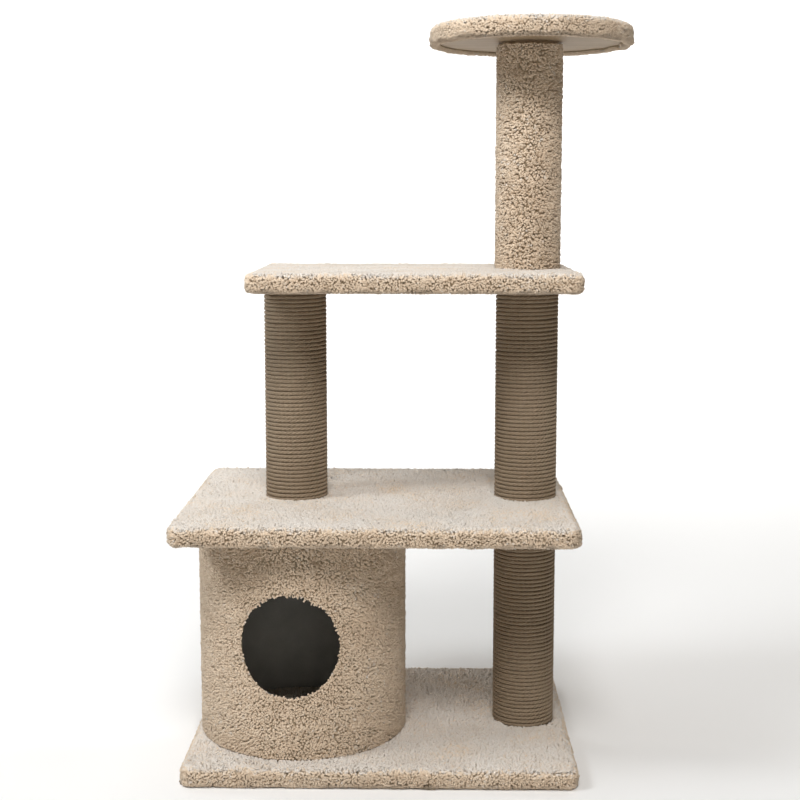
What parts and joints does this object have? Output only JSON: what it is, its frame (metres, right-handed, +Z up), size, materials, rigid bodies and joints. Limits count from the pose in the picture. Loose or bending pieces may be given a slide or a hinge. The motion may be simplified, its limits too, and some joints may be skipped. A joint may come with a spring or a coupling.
{
  "type": "cat tree",
  "caption": "Free-standing cat tree: carpeted base, two staggered shelves and a round perch on sisal and carpet posts, with a round carpeted condo under the middle shelf.",
  "frame": {"origin": "centre of the base's footprint on the floor, at the underside of the carpet folded under the base", "axes": "+Z up, +Y to the back, +X to the right seen from the front, where the condo's entrance is; the perch is on the +X side"},
  "size_m": [0.7, 0.485, 1.143],
  "materials": {
    "plywood": "bare sanded plywood, pale, with grain and a few patches",
    "pine": "raw turned pine with end grain",
    "cream_carpet": "cream cut-pile frieze carpet, matt, with a soft sheen",
    "sisal": "natural sisal rope, dry and fibrous, wound tight",
    "paper_tube": "spiral-wound brown paper tube, matt",
    "cardboard": "heavy spiral-wound cardboard tube, matt",
    "charcoal_felt": "charcoal grey needle felt, matt",
    "zinc_steel": "zinc-plated steel, satin",
    "yellow_zinc": "yellow-passivated zinc inserts, satin"
  },
  "bodies": {
    "root": {"base_board": "plywood", "base_carpet": "cream_carpet", "base_staples": "zinc_steel", "condo_tube": "cardboard", "condo_carpet": "cream_carpet", "condo_lining": "charcoal_felt", "condo_floor_disc": "plywood", "condo_floor_carpet": "cream_carpet", "condo_roof_disc": "plywood", "condo_floor_screws": "zinc_steel", "condo_roof_screws": "zinc_steel", "condo_tube_screws": "zinc_steel", "lower_post_core": "paper_tube", "lower_post_bottom_plug": "pine", "lower_post_top_plug": "pine", "lower_post_inserts": "yellow_zinc", "lower_post_rope": "sisal", "left_post_core": "paper_tube", "left_post_bottom_plug": "pine", "left_post_top_plug": "pine", "left_post_inserts": "yellow_zinc", "left_post_rope": "sisal", "right_post_core": "paper_tube", "right_post_bottom_plug": "pine", "right_post_top_plug": "pine", "right_post_inserts": "yellow_zinc", "right_post_rope": "sisal", "perch_post_core": "paper_tube", "perch_post_bottom_plug": "pine", "perch_post_top_plug": "pine", "perch_post_inserts": "yellow_zinc", "perch_post_carpet": "cream_carpet", "middle_board": "plywood", "middle_carpet": "cream_carpet", "middle_staples": "zinc_steel", "upper_board": "plywood", "upper_carpet": "cream_carpet", "upper_staples": "zinc_steel", "perch_board": "plywood", "perch_carpet": "cream_carpet", "perch_staples": "zinc_steel", "base_bolt": "zinc_steel", "left_post_bolt": "zinc_steel", "middle_shelf_stud": "zinc_steel", "upper_shelf_stud": "zinc_steel", "left_post_stud": "zinc_steel", "perch_stud": "zinc_steel", "upper_tee_nut": "zinc_steel", "perch_tee_nut": "zinc_steel", "rope_staples": "zinc_steel"}
  },
  "joints": []
}
